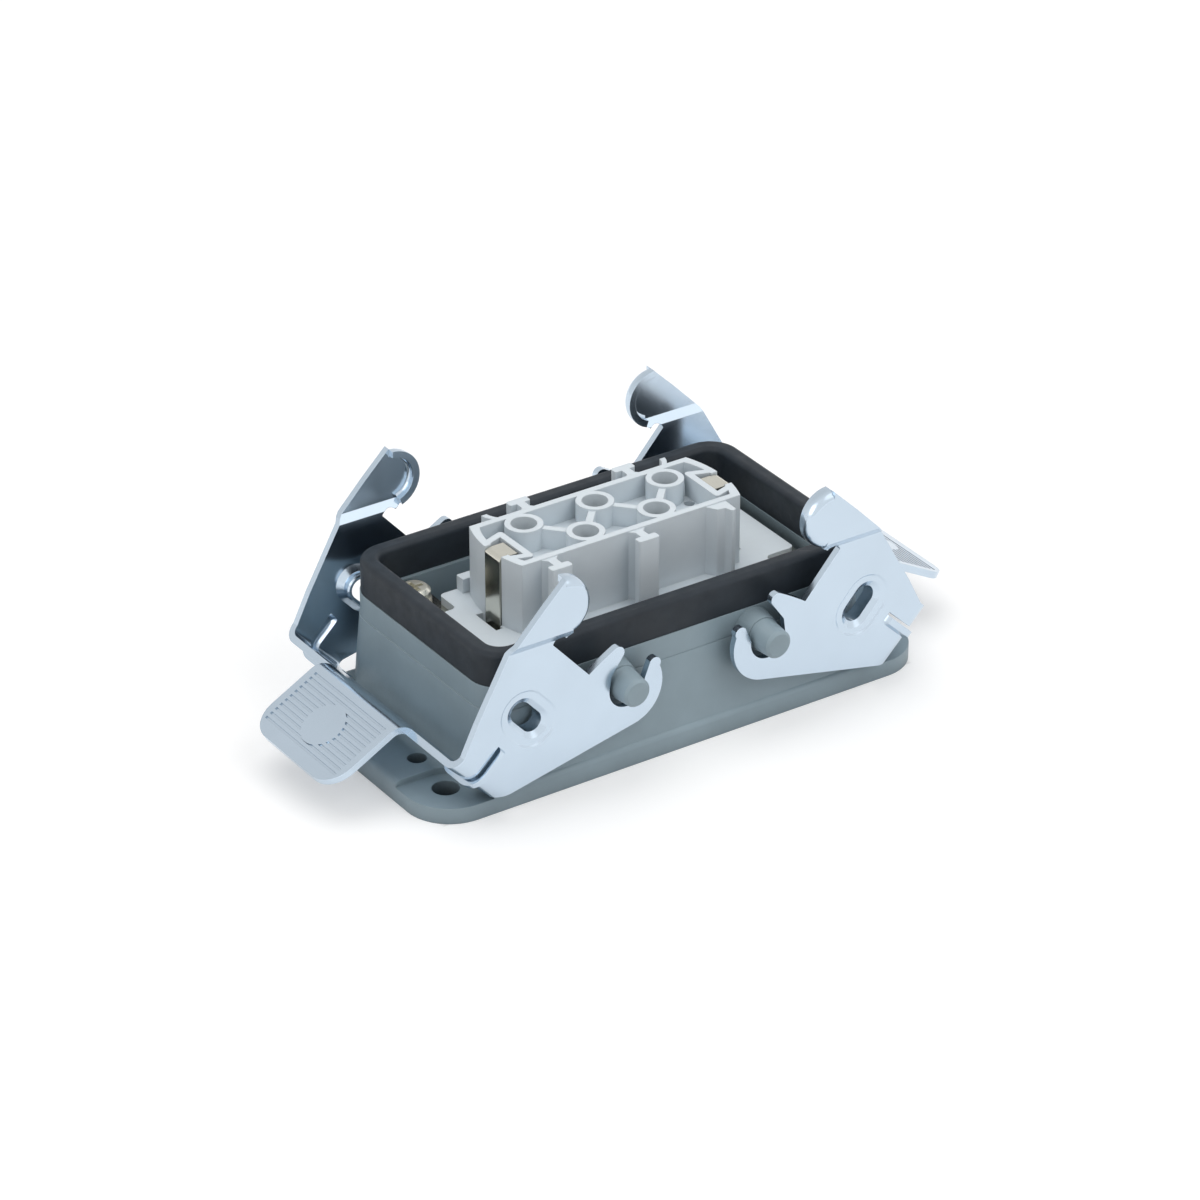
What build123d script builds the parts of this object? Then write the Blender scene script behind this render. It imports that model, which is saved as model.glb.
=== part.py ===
from build123d import *
import os
from math import cos, radians, sin, tan

# Heavy duty rectangular connector, size 10: a die-cast bulkhead housing with two stamped
# locking levers, a rubber rim seal and a five-contact female insert with earth springs.
# Millimetres. X runs along the housing, Y across it, Z up. Z = 0 is the panel face and the
# origin is the middle of the housing's underside. Both levers are modelled hanging open.

# Insert fixings, which the housing and the insert are laid out from
FIX_X = 57.0
FIX_Y = 27.0
LUG_LENGTH = 7.4
LUG_WIDTH = 6.4
LUG_DEPTH = 9.0
LUG_EDGE_R = 2.0
LUG_TO_END = 4.7
LUG_TO_SIDE = 3.8
THREAD_R = 1.45
THREAD_CLEAR = 0.05

# Housing casting
END_WALL = 3.3
SIDE_WALL = 3.9
RIM_CORNER_R = 5.5
RIM_Z = 20.7
CAVITY_CORNER_R = 2.6
FLANGE_BEYOND_HOLES = 6.5
FLANGE_BEYOND_RIM_Y = 1.8
FLANGE_CORNER_R = 8.0
FLANGE_THICK = 3.8
FLANGE_EDGE_R = 1.1
SKIRT_TOP_Z = 16.5
SKIRT_FOOT_Z = 1.2
SKIRT_SPREAD_X = 1.5
SKIRT_SPREAD_Y = 1.4
SKIRT_FOOT_CORNER_R = 7.0
SKIRT_LEDGE = 0.15
UNDER_POCKET_X = 1.6
UNDER_POCKET_Y = 1.5
UNDER_POCKET_Z = 8.0
UNDER_POCKET_R = 3.5
TONGUE_HEIGHT = 3.6
TONGUE_THICK = 1.3

# Mounting to the panel
MOUNT_BEYOND_RIM = 5.0
MOUNT_FROM_EDGE_Y = 7.0
MOUNT_HOLE_R = 2.25
PAD_Z = 2.8
PAD_R = 4.6
CODING_HOLE_R = 1.6
CODING_BEYOND_RIM = 4.8
CODING_HOLE_Y = 7.2

# Pegs that carry the levers
PEG_FROM_END = 22.9
PEG_Z = 17.0
PEG_R = 2.42
PEG_ROOT_R = 2.8
PEG_BEYOND_ARM = 3.1
PEG_CHAMFER = 0.45
BOSS_R = 3.45
BOSS_FACE_R = 3.0
BOSS_GAP = 0.3

# Seals
SEAL_INSET = 0.15
SEAL_THICK = 3.05
SEAL_TOP_Z = 26.65
SEAL_TOP_R = 0.9
SEAL_GROOVE_CLEAR = 0.05
BASE_SEAL_WIDTH = 2.0
BASE_SEAL_DEPTH = 1.2
BASE_SEAL_X = 2.3
BASE_SEAL_Y = 2.1
BASE_SEAL_R = 5.0

# Levers. Points are X, Z in the arm's side view, from the pivot
SHEET = 1.2
ARM_CLEAR = 3.3
BEND_R = 2.6
WEB_DEG = 46.0
WEB_OUT = -32.35
WEB_UP = -5.1
LOWER_EDGE_DEG = 12.2
HOOK_R = 6.75
HOOK_OFF_X = -0.05
HOOK_OFF_Z = -0.7
SLOT_R = 3.35
SLOT_OFF_X = 0.0
SLOT_OFF_Z = -0.3
SLOT_OPEN_DEG = 10.0
HOOK_END_DEG = 22.0
HOOK_TIP = (5.4, 3.5)
HOOK_TIP_IN = (4.4, 3.0)
PEAK_RIGHT = (-0.6, 6.0)
PEAK_TOP = (-0.8, 7.2)
PEAK_LEFT = (-2.2, 7.5)
PEAK_SIDE = (-5.1, 5.8)
VEE = (-7.2, 4.4)
SLOT_SIDE = (-3.0, 2.6)
EDGE_TOP = (-13.9, 11.9)
CREASE_Z = 12.6
JOG_RISE = 1.4
JOG_OUT = 0.9
RELIEF_TOP = (-12.7, 12.9)
FINGER_FOOT = (-11.4, 12.4)
FINGER_X = -12.1
FINGER_Z = 18.0
FINGER_R = 5.2
FINGER_LOW_DEG = -70.0
FINGER_TOP_DEG = 88.0
FINGER_BACK = (-16.7, 18.5)
CREASE_BACK = (-21.6, 13.4)
SHOULDER = (-27.9, 2.0)
RIM_FLANGE = 2.5
RIM_BEND_R = 1.7
TAB_DEG = 28.5
TAB_LENGTH = 15.7
TAB_HALF = 12.0
TAB_CORNER_R = 4.8
TAB_FOLD_R = 3.3
TAB_CREST = 2.6
TAB_RELIEF = 1.0
TAB_ROOT = 2.0
GRIP_PITCH = 1.05
GRIP_COUNT = 11
GRIP_WIDTH = 0.45
GRIP_DEPTH = 0.25
GRIP_HALF = 10.6
GRIP_START = 2.6
DISC_R = 4.0
DISC_AT = 8.2
WEB_CUT_HALF = 19.5
WEB_CUT_T = 7.2
WEB_CUT_R = 3.0
SLIT_T = 4.2
SLIT_GAP = 0.5
LIP_DEPTH = 1.7
LIP_SHOULDER = 1.1
LIP_RISE = 0.85
LIP_RAMP = 1.6
LIP_DIP = 0.15
LIP_ON_WEB = 5.5
LIP_ON_ARM = 4.8
LIP_STEPS = 12
EYE_X = -18.5
EYE_Z = 0.1
EYE_DEG = -48.0
EYE_R = 1.85
EYE_SPAN = 2.9
RING_R = 4.0
RING_SPAN = 2.6
RING_DEPTH = 0.2
RING_SLOPE = 0.35
DISH_R = 2.75
DISH_SPAN = 3.2
DISH_DEPTH = 0.85
COLLAR_WALL = 0.7
COLLAR_DEPTH = 2.2
COLLAR_EDGE = 0.25

# Insert, front half
PLATE_Z = 20.3
PLATE_THICK = 1.5
PLATE_LEFT = -28.4
PLATE_RIGHT = 31.0
PLATE_HALF_Y = 10.5
PLATE_FAR_NOTCH = (2.7, 5.2)
PLATE_NEAR_NOTCH = (5.8, 2.1)
PLATE_R = 0.9
BLOCK_TOP_Z = 32.8
BLOCK_LEFT_STEP = 1.6
BLOCK_RIGHT_STEP = 2.6
BLOCK_BOW = 1.5
BLOCK_HALF_Y = 7.75
BLOCK_WALL = 1.2
FLOOR_DEPTH = 5.2
CONTACT_PITCH = 13.65
CONTACT_ROW_Y = 3.8
TUBE_R = 3.15
TUBE_BORE_R = 2.15
RIB_THICK = 1.2
RIB_DROP = 0.3
KEY_HEAD = 3.9
KEY_HEAD_THICK = 1.5
KEY_STEM = 1.5
KEY_REACH = 3.8
KEY_ROOT = 0.8
FAR_KEYS = (-10.2, 10.2)
NEAR_KEYS = (-16.3, 0.3)
HORN_X = 16.8
HORN_THICK = 1.0
HORN_REACH = 2.2
HORN_SAG = 0.35
STUB = ((13.4, 7.2), (14.8, 9.5), (16.2, 9.7), (16.7, 11.1), (17.5, 10.9), (17.6, 7.2))
STUB_R = 0.3
KEY_DROP = 0.2
POCKET_POINTS = ((0.6, 2.9), (4.3, 4.2), (4.4, -4.1), (0.5, -2.9))
NUB_X = -20.6
NUB_LENGTH = 3.4
NUB_WIDTH = 1.9
NUB_HEIGHT = 2.6
PILOT_R = 0.9
PILOT_FAR = (3.9, 3.6)
PILOT_NEAR = (12.5, -5.4)
PILOT_DEPTH = 4.0
BODY_TO_FIX = 3.9
BODY_HALF_Y = 10.2
SPLIT_Z = 9.0
BODY_R = 1.2

# Insert, rear half
REAR_Z = 1.0
SEAT_CLEAR = 0.05
SNAP_WIDTH = 4.0
SNAP_THICK = 1.0
SNAP_HEIGHT = 4.6
SNAP_IN = 0.9
SNAP_Y = 7.0
SNAP_BARB_R = 0.5
WINDOW_R = 2.45
ENTRY_R = 2.2

# Contacts and terminals
CONTACT_R = 2.05
CONTACT_BORE_R = 1.5
CONTACT_TOP_GAP = 2.4
CONTACT_SLOT = 0.5
CONTACT_SLOT_DEPTH = 7.0
CONTACT_BORE_DEPTH = 12.0
COLLAR_R = 2.9
COLLAR_HEIGHT = 1.6
TERMINAL_SIDE = 6.0
TERMINAL_TOP_Z = 13.0
TERMINAL_LOW_Z = 2.6
TERMINAL_SCREW_Z = 5.6
CONTACT_CHAMFER = 0.3
WIRE_ROOM_X = 3.7
WIRE_ROOM_Y = 4.2
WIRE_ROOM_TOP = 8.6
SCREW_R = 1.25
SCREW_HEAD_R = 2.3
SCREW_HEAD = 1.6
SCREW_CLEAR = 0.05
SCREW_REACH = 0.3
HEAD_BEVEL = 0.3
CLAMP_THICK = 0.8
CLAMP_WIDTH = 3.4
CLAMP_LENGTH = 4.4

# Earth springs
EARTH_THICK = 1.2
EARTH_SIDE_GAP = 0.7
EARTH_END_GAP = 0.8
EARTH_FROM_BODY = 0.6
EARTH_R = 2.2
BLADE_WIDTH = 4.2
BLADE_THICK = 0.8
BLADE_Y = -1.3
BLADE_FOLD = 3.5
BLADE_DROP = 0.3
BLADE_GAP = 0.1
BLADE_MOUTH = 1.3
FOOT_SLOT = 0.8
TAIL_WIDTH = 6.0
TAIL_Y = -1.3
TAIL_LOW_Z = 8.6
EARTH_SCREW_Z = 12.2
EARTH_SCREW_LENGTH = 5.0

# Fixing screws
FIX_HEAD_R = 2.7
FIX_HEAD = 1.9
FIX_LENGTH = 9.0
WASHER_R = 2.9
WASHER_THICK = 0.6
WASHER_SPLIT = 0.6
CROSS_WIDTH = 0.7
CROSS_LENGTH = 1.15
CROSS_DEPTH = 1.1

# Worked-out places
CAVITY_LENGTH = FIX_X + 2 * LUG_TO_END
CAVITY_WIDTH = FIX_Y + 2 * LUG_TO_SIDE
RIM_LENGTH = CAVITY_LENGTH + 2 * END_WALL
RIM_WIDTH = CAVITY_WIDTH + 2 * SIDE_WALL
MOUNT_X = RIM_LENGTH + 2 * MOUNT_BEYOND_RIM
FLANGE_LENGTH = MOUNT_X + 2 * FLANGE_BEYOND_HOLES
FLANGE_WIDTH = RIM_WIDTH + 2 * FLANGE_BEYOND_RIM_Y
MOUNT_Y = FLANGE_WIDTH - 2 * MOUNT_FROM_EDGE_Y
CODING_HOLE_X = RIM_LENGTH / 2 + CODING_BEYOND_RIM
PEG_X = RIM_LENGTH / 2 - PEG_FROM_END
ARM_INNER_Y = RIM_WIDTH / 2 + ARM_CLEAR
ARM_OUTER_Y = ARM_INNER_Y + SHEET
PEG_END_Y = ARM_OUTER_Y + PEG_BEYOND_ARM
BODY_HALF_X = FIX_X / 2 - BODY_TO_FIX
BLOCK_LEFT = BLOCK_LEFT_STEP - BODY_HALF_X
BLOCK_RIGHT = BODY_HALF_X - BLOCK_RIGHT_STEP
EARTH_IN_X = BODY_HALF_X + EARTH_FROM_BODY
EARTH_OUT_X = CAVITY_LENGTH / 2 - EARTH_END_GAP
EARTH_HALF_Y = CAVITY_WIDTH / 2 - EARTH_SIDE_GAP
EARTH_TOP_Z = PLATE_Z - PLATE_THICK
LUG_TOP_Z = EARTH_TOP_Z - EARTH_THICK
FLOOR_Z = BLOCK_TOP_Z - FLOOR_DEPTH
REACH = 200.0
SKIN = 0.01


def plan(length, width, radius, z, height):
    """A rounded block standing on height z."""
    return Pos(0, 0, z) * extrude(RectangleRounded(length, width, radius), height)


def corners(x, y):
    return [(sx * x, sy * y) for sx in (-1, 1) for sy in (-1, 1)]


def peg(x, side):
    """One cast peg with its conical boss, turned about an axis along Y."""
    wall = RIM_WIDTH / 2 - SIDE_WALL / 2
    boss_y = ARM_INNER_Y - BOSS_GAP
    profile = Polyline(
        (0, wall),
        (PEG_ROOT_R, wall),
        (PEG_ROOT_R, RIM_WIDTH / 2),
        (BOSS_R, RIM_WIDTH / 2),
        (BOSS_FACE_R, boss_y),
        (PEG_ROOT_R, boss_y),
        (PEG_R, PEG_END_Y - PEG_CHAMFER),
        (PEG_R - PEG_CHAMFER, PEG_END_Y),
        (0, PEG_END_Y),
        close=True,
    )
    turned = revolve(make_face(profile), Axis.Y)
    if side < 0:
        turned = Rot(0, 0, 180) * turned
    return Pos(x, 0, PEG_Z) * turned


def pad_cut(x, y):
    """The flat seat for a panel screw, sunk into the flange's corner."""
    seat = Pos(x, y, PAD_Z) * Cylinder(PAD_R, REACH, align=(Align.CENTER, Align.CENTER, Align.MIN))
    side_x = 1 if x > 0 else -1
    side_y = 1 if y > 0 else -1
    outer = Pos(x + side_x * REACH / 2, y, PAD_Z + REACH / 2) * Box(REACH, 2 * PAD_R, REACH)
    corner = Pos(x + side_x * (REACH / 2 - PAD_R), y + side_y * REACH / 2, PAD_Z + REACH / 2)
    return seat + outer + corner * Box(REACH, REACH, REACH)


def lug(x, y):
    """A cast lug in the cavity's corner that takes one fixing screw."""
    side_x = 1 if x > 0 else -1
    side_y = 1 if y > 0 else -1
    outer_x = RIM_LENGTH / 2 - END_WALL / 2
    outer_y = RIM_WIDTH / 2 - SIDE_WALL / 2
    length = outer_x - (abs(x) - LUG_LENGTH / 2)
    width = outer_y - (abs(y) - LUG_WIDTH / 2)
    block = Box(length, width, LUG_DEPTH)
    block = fillet(block.edges().filter_by(Axis.Z), LUG_EDGE_R)
    place = Pos(
        side_x * (outer_x - length / 2),
        side_y * (outer_y - width / 2),
        LUG_TOP_Z - LUG_DEPTH / 2,
    )
    return place * block


def housing():
    flange = plan(FLANGE_LENGTH, FLANGE_WIDTH, FLANGE_CORNER_R, 0, FLANGE_THICK)
    flange = fillet(flange.faces().sort_by(Axis.Z)[-1].edges(), FLANGE_EDGE_R)
    for x, y in corners(MOUNT_X / 2, MOUNT_Y / 2):
        flange -= pad_cut(x, y)
    foot = RectangleRounded(
        RIM_LENGTH + 2 * SKIRT_SPREAD_X, RIM_WIDTH + 2 * SKIRT_SPREAD_Y, SKIRT_FOOT_CORNER_R
    )
    top = RectangleRounded(
        RIM_LENGTH + 2 * SKIRT_LEDGE, RIM_WIDTH + 2 * SKIRT_LEDGE, RIM_CORNER_R + SKIRT_LEDGE
    )
    skirt = loft([Pos(0, 0, SKIRT_FOOT_Z) * foot, Pos(0, 0, SKIRT_TOP_Z) * top])
    upper = plan(RIM_LENGTH, RIM_WIDTH, RIM_CORNER_R, SKIRT_TOP_Z, RIM_Z - SKIRT_TOP_Z)
    body = flange + skirt + upper
    tongue_in = TONGUE_THICK / 2 + SEAL_THICK / 2 + SEAL_INSET
    body += plan(
        RIM_LENGTH - 2 * tongue_in + 2 * TONGUE_THICK,
        RIM_WIDTH - 2 * tongue_in + 2 * TONGUE_THICK,
        RIM_CORNER_R - tongue_in + TONGUE_THICK,
        RIM_Z,
        TONGUE_HEIGHT,
    )
    body -= plan(
        RIM_LENGTH - 2 * tongue_in,
        RIM_WIDTH - 2 * tongue_in,
        RIM_CORNER_R - tongue_in,
        RIM_Z,
        REACH,
    )
    body -= plan(CAVITY_LENGTH, CAVITY_WIDTH, CAVITY_CORNER_R, -REACH / 2, REACH)
    body -= plan(
        CAVITY_LENGTH + 2 * UNDER_POCKET_X,
        CAVITY_WIDTH + 2 * UNDER_POCKET_Y,
        UNDER_POCKET_R,
        -REACH,
        REACH + UNDER_POCKET_Z,
    )
    for x, y in corners(FIX_X / 2, FIX_Y / 2):
        body += lug(x, y)
    for x, y in corners(FIX_X / 2, FIX_Y / 2):
        body -= Pos(x, y, 0) * Cylinder(THREAD_R + THREAD_CLEAR, REACH)
    for x, y in corners(MOUNT_X / 2, MOUNT_Y / 2):
        body -= Pos(x, y, 0) * Cylinder(MOUNT_HOLE_R, REACH)
    for side in (-1, 1):
        body -= Pos(side * CODING_HOLE_X, side * CODING_HOLE_Y, 0) * Cylinder(CODING_HOLE_R, REACH)
    for side in (-1, 1):
        for x in (-PEG_X, PEG_X):
            body += peg(x, side)
    return body - base_seal_ring(0)


def rim_seal():
    """The rubber cap moulded over the rim, with a groove for the housing's tongue."""
    length = RIM_LENGTH - 2 * SEAL_INSET
    width = RIM_WIDTH - 2 * SEAL_INSET
    radius = RIM_CORNER_R - SEAL_INSET
    height = SEAL_TOP_Z - RIM_Z
    ring = plan(length, width, radius, RIM_Z, height)
    ring -= plan(length - 2 * SEAL_THICK, width - 2 * SEAL_THICK, CAVITY_CORNER_R, RIM_Z - 1, REACH)
    ring = fillet(ring.faces().sort_by(Axis.Z)[-1].edges(), SEAL_TOP_R)
    middle = TONGUE_THICK / 2 + SEAL_THICK / 2 + SEAL_INSET
    outer = middle - TONGUE_THICK - SEAL_GROOVE_CLEAR
    inner = middle + SEAL_GROOVE_CLEAR
    groove_height = TONGUE_HEIGHT + SEAL_GROOVE_CLEAR
    groove = plan(
        RIM_LENGTH - 2 * outer, RIM_WIDTH - 2 * outer, RIM_CORNER_R - outer, RIM_Z, groove_height
    )
    groove -= plan(
        RIM_LENGTH - 2 * inner, RIM_WIDTH - 2 * inner, RIM_CORNER_R - inner, RIM_Z, groove_height
    )
    return ring - groove


def base_seal_ring(shrink):
    """The flat seal in the groove under the flange, around the panel cut-out."""
    length = CAVITY_LENGTH + 2 * UNDER_POCKET_X + 2 * BASE_SEAL_X
    width = CAVITY_WIDTH + 2 * UNDER_POCKET_Y + 2 * BASE_SEAL_Y
    half = BASE_SEAL_WIDTH / 2 - shrink
    outer = plan(
        length + 2 * half, width + 2 * half, BASE_SEAL_R + half, 0, BASE_SEAL_DEPTH - shrink
    )
    inner = plan(
        length - 2 * half, width - 2 * half, BASE_SEAL_R - half, 0, BASE_SEAL_DEPTH - shrink
    )
    return outer - inner


def lever_axes():
    """The web's line: where its outer face starts, its direction down the web and its inward normal."""
    down = Vector(cos(radians(WEB_DEG)), 0, -sin(radians(WEB_DEG)))
    inward = Vector(sin(radians(WEB_DEG)), 0, cos(radians(WEB_DEG)))
    start = Vector(WEB_OUT, 0, WEB_UP)
    return start, down, inward


def web_plane(distance):
    """A plane across the web, that far down it, with local x along Y and local y inward."""
    start, down, _ = lever_axes()
    return Plane(origin=start + down * distance, x_dir=(0, 1, 0), z_dir=down)


def channel():
    """The folded U of the lever, before its outline is cut."""
    outer = Pos(0, REACH / 2) * Rectangle(2 * ARM_OUTER_Y, REACH)
    outer = fillet(outer.vertices().sort_by(Axis.Y)[:2], BEND_R)
    inner = Pos(0, SHEET + REACH / 2) * Rectangle(2 * ARM_INNER_Y, REACH)
    inner = fillet(inner.vertices().sort_by(Axis.Y)[:2], BEND_R - SHEET)
    return extrude(web_plane(-REACH / 2) * (outer - inner), REACH)


def arm_outline():
    """The side view of a lever, from the crease round the web, hook, peak and finger."""
    start, down, inward = lever_axes()
    lower = radians(LOWER_EDGE_DEG)
    hook = (HOOK_OFF_X, HOOK_OFF_Z)
    tangent = (hook[0] + HOOK_R * sin(lower), hook[1] - HOOK_R * cos(lower))
    outside = start - inward * SHEET
    bend_end = start + inward * BEND_R
    corner_x = outside.X - SHEET
    corner_z = tangent[1] + (corner_x - tangent[0]) * tan(lower)
    mid_deg = (HOOK_END_DEG - 90 + LOWER_EDGE_DEG) / 2
    hook_mid = (hook[0] + HOOK_R * cos(radians(mid_deg)), hook[1] + HOOK_R * sin(radians(mid_deg)))
    hook_end = (
        hook[0] + HOOK_R * cos(radians(HOOK_END_DEG)),
        hook[1] + HOOK_R * sin(radians(HOOK_END_DEG)),
    )
    open_c = cos(radians(SLOT_OPEN_DEG)) * SLOT_R
    open_s = sin(radians(SLOT_OPEN_DEG)) * SLOT_R
    slot_right = (SLOT_OFF_X + open_c, SLOT_OFF_Z + open_s)
    slot_low = (SLOT_OFF_X, SLOT_OFF_Z - SLOT_R)
    slot_left = (SLOT_OFF_X - open_c, SLOT_OFF_Z + open_s)
    flat_r = FINGER_R - RIM_BEND_R
    finger_low = finger_point(FINGER_LOW_DEG, flat_r)
    finger_mid = finger_point((FINGER_LOW_DEG + FINGER_TOP_DEG) / 2, flat_r)
    finger_top = finger_point(FINGER_TOP_DEG, flat_r)
    edges = [
        Polyline(
            CREASE_BACK,
            SHOULDER,
            (bend_end.X, bend_end.Z),
            (outside.X, outside.Z),
            (corner_x, outside.Z),
            (corner_x, corner_z),
            tangent,
        ),
        ThreePointArc(tangent, hook_mid, hook_end),
        ThreePointArc(hook_end, HOOK_TIP, HOOK_TIP_IN),
        Line(HOOK_TIP_IN, slot_right),
        ThreePointArc(slot_right, slot_low, slot_left),
        Polyline(slot_left, SLOT_SIDE, PEAK_RIGHT),
        ThreePointArc(PEAK_RIGHT, PEAK_TOP, PEAK_LEFT),
        ThreePointArc(PEAK_LEFT, PEAK_SIDE, VEE),
        Line(VEE, EDGE_TOP),
        ThreePointArc(EDGE_TOP, RELIEF_TOP, FINGER_FOOT),
        Polyline(FINGER_FOOT, finger_point(FINGER_LOW_DEG), finger_low),
        ThreePointArc(finger_low, finger_mid, finger_top),
        Polyline(finger_top, finger_point(FINGER_TOP_DEG), FINGER_BACK, CREASE_BACK),
    ]
    return make_face(edges)


def finger_point(degrees, radius=FINGER_R):
    return (
        FINGER_X + radius * cos(radians(degrees)),
        FINGER_Z + radius * sin(radians(degrees)),
    )


def arm_sheet():
    """The +Y arm above the crease: a joggle outwards, then the finger's flat."""
    high = CREASE_Z + JOG_RISE
    section = Polyline(
        (ARM_INNER_Y, CREASE_Z),
        (ARM_OUTER_Y, CREASE_Z),
        (ARM_OUTER_Y + JOG_OUT, high),
        (ARM_OUTER_Y + JOG_OUT, REACH),
        (ARM_INNER_Y + JOG_OUT, REACH),
        (ARM_INNER_Y + JOG_OUT, high),
        close=True,
    )
    return extrude(Plane.YZ * make_face(section), REACH, both=True)


def finger_rim():
    """The flange curled inwards round the finger's rounded end, turned about the finger's centre."""
    outer_y = ARM_OUTER_Y + JOG_OUT
    outside = RIM_BEND_R * (1 - sin(radians(45)))
    inside = SHEET + (RIM_BEND_R - SHEET) * (1 - sin(radians(45)))
    low_y = outer_y - RIM_FLANGE
    section = make_face(
        [
            ThreePointArc(
                (FINGER_R - RIM_BEND_R, outer_y),
                (FINGER_R - outside, outer_y - outside),
                (FINGER_R, outer_y - RIM_BEND_R),
            ),
            Polyline(
                (FINGER_R, outer_y - RIM_BEND_R),
                (FINGER_R, low_y),
                (FINGER_R - SHEET, low_y),
                (FINGER_R - SHEET, outer_y - RIM_BEND_R),
            ),
            ThreePointArc(
                (FINGER_R - SHEET, outer_y - RIM_BEND_R),
                (FINGER_R - inside, outer_y - inside),
                (FINGER_R - RIM_BEND_R, outer_y - SHEET),
            ),
            Line((FINGER_R - RIM_BEND_R, outer_y - SHEET), (FINGER_R - RIM_BEND_R, outer_y)),
        ]
    )
    turned = revolve(section, Axis.Y, FINGER_TOP_DEG - FINGER_LOW_DEG)
    return Pos(FINGER_X, 0, FINGER_Z) * Rot(0, -FINGER_TOP_DEG, 0) * turned


def stadium(span, radius):
    return SlotCenterToCenter(span, 2 * radius)


def eye_plane(y):
    """A plane across an arm at the eye, facing inwards, turned to the eye's slope."""
    return Plane(origin=(EYE_X, y, EYE_Z), x_dir=(1, 0, 0), z_dir=(0, -1, 0)) * Rot(0, 0, EYE_DEG)


def eye_boss():
    """The dished collar that stands inwards round the arm's oblong eye."""
    inner = eye_plane(ARM_INNER_Y + SKIN)
    low = eye_plane(ARM_INNER_Y - DISH_DEPTH)
    neck = stadium(EYE_SPAN, EYE_R + COLLAR_WALL)
    dish = loft([inner * stadium(DISH_SPAN, DISH_R + COLLAR_WALL), low * neck])
    collar = extrude(inner * neck, COLLAR_DEPTH)
    collar = chamfer(collar.faces().sort_by(Axis.Y)[0].edges(), COLLAR_EDGE)
    return dish + collar


def eye_cut():
    """The eye's hole, the dish that leads into it and the shallow pressed ring around that."""
    surface = eye_plane(ARM_OUTER_Y + SKIN)
    floor = eye_plane(ARM_OUTER_Y - RING_DEPTH)
    ring = loft(
        [surface * stadium(RING_SPAN, RING_R + RING_SLOPE), floor * stadium(RING_SPAN, RING_R)]
    )
    low = eye_plane(ARM_OUTER_Y - DISH_DEPTH)
    dish = loft([floor * stadium(DISH_SPAN, DISH_R), low * stadium(EYE_SPAN, EYE_R + SKIN)])
    hole = extrude(surface * stadium(EYE_SPAN, EYE_R), REACH / 4)
    return ring + dish + hole


def bulge(distance, inset, rise, back):
    """A band round the corner bend: the sheet's surface pushed out by rise, closed on the inside.

    Its ends dip a little below the surface, so it always crosses the sheet at an angle."""
    half = ARM_OUTER_Y - inset
    radius = BEND_R - inset
    turn = radius * radians(90)
    total = LIP_ON_WEB + turn + LIP_ON_ARM
    outside = []
    inside = []
    for i in range(LIP_STEPS + 1):
        s = total * i / LIP_STEPS
        ramp = min(s, total - s, LIP_RAMP) / LIP_RAMP
        out = (rise + LIP_DIP) * sin(radians(90) * ramp) - LIP_DIP
        if s < LIP_ON_WEB:
            point = Vector(half - radius - LIP_ON_WEB + s, inset)
            normal = Vector(0, -1)
        elif s < LIP_ON_WEB + turn:
            angle = (s - LIP_ON_WEB) / radius
            normal = Vector(sin(angle), -cos(angle))
            point = Vector(half - radius, inset + radius) + normal * radius
        else:
            point = Vector(half, inset + radius + s - LIP_ON_WEB - turn)
            normal = Vector(1, 0)
        outside.append(point + normal * out)
        inside.append(point - normal * back)
    edges = [
        Spline(outside),
        Line(outside[-1], inside[-1]),
        Polyline(inside[::-1]),
        Line(inside[0], outside[0]),
    ]
    return web_plane(distance) * make_face(edges)


def louvre(inset):
    """The shape of the half louvre at that depth in the sheet: full height, then a short slope."""
    mouth = SLIT_T + SLIT_GAP
    sections = [
        bulge(mouth, inset, LIP_RISE, SHEET / 2),
        bulge(mouth + LIP_SHOULDER, inset, LIP_RISE, SHEET / 2),
        bulge(mouth + LIP_DEPTH, inset, -LIP_DIP, SHEET / 2),
    ]
    return loft(sections, ruled=True)


def lip_cut():
    """The slit above the louvre and the hollow behind it."""
    slit = extrude(bulge(SLIT_T, 0, LIP_RISE, SHEET * 5 / 4), SLIT_GAP)
    return louvre(SHEET) + slit


def tab_axes():
    """The tab's line: the fold's outer corner, the way out along the tab and its upward normal."""
    start, down, inward = lever_axes()
    slope = radians(TAB_DEG)
    out = Vector(-cos(slope), 0, -sin(slope))
    up = Vector(-sin(slope), 0, cos(slope))
    return start + inward * SHEET - down * TAB_CREST, out, up


def fold_tangent():
    """How far down the web from its top edge the fold's bend begins."""
    turn = 180 - WEB_DEG - TAB_DEG
    return TAB_FOLD_R / tan(radians(turn / 2)) - TAB_CREST


def tab():
    """The pull tab: folded outwards from the web and rounded at its free corners."""
    apex, out, up = tab_axes()
    _, down, inward = lever_axes()
    turn = radians(180 - WEB_DEG - TAB_DEG)
    back = SHEET / tan(turn / 2)
    foot = apex + down * (fold_tangent() + TAB_CREST + TAB_ROOT)
    end = apex + out * TAB_LENGTH
    crook = apex - up * SHEET + out * back
    points = [foot, apex, end, end - up * SHEET, crook, foot - inward * SHEET]
    side = make_face(Polyline([(p.X, p.Z) for p in points], close=True))
    side = fillet(side.vertices().sort_by(Axis.Y)[-1], TAB_FOLD_R)
    inner = side.vertices().sort_by_distance((crook.X, crook.Z, 0))[0]
    side = fillet(inner, TAB_FOLD_R - SHEET)
    outline = Rectangle(2 * TAB_HALF, 2 * TAB_LENGTH)
    outline = fillet(outline.vertices().sort_by(Axis.Y)[-2:], TAB_CORNER_R)
    plane = Plane(origin=apex, x_dir=(0, 1, 0), z_dir=up)
    prism = extrude(plane * outline, REACH / 4, both=True)
    solid = extrude(Plane.XZ * side, TAB_HALF, both=True)
    return (solid & prism) - grip()


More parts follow.
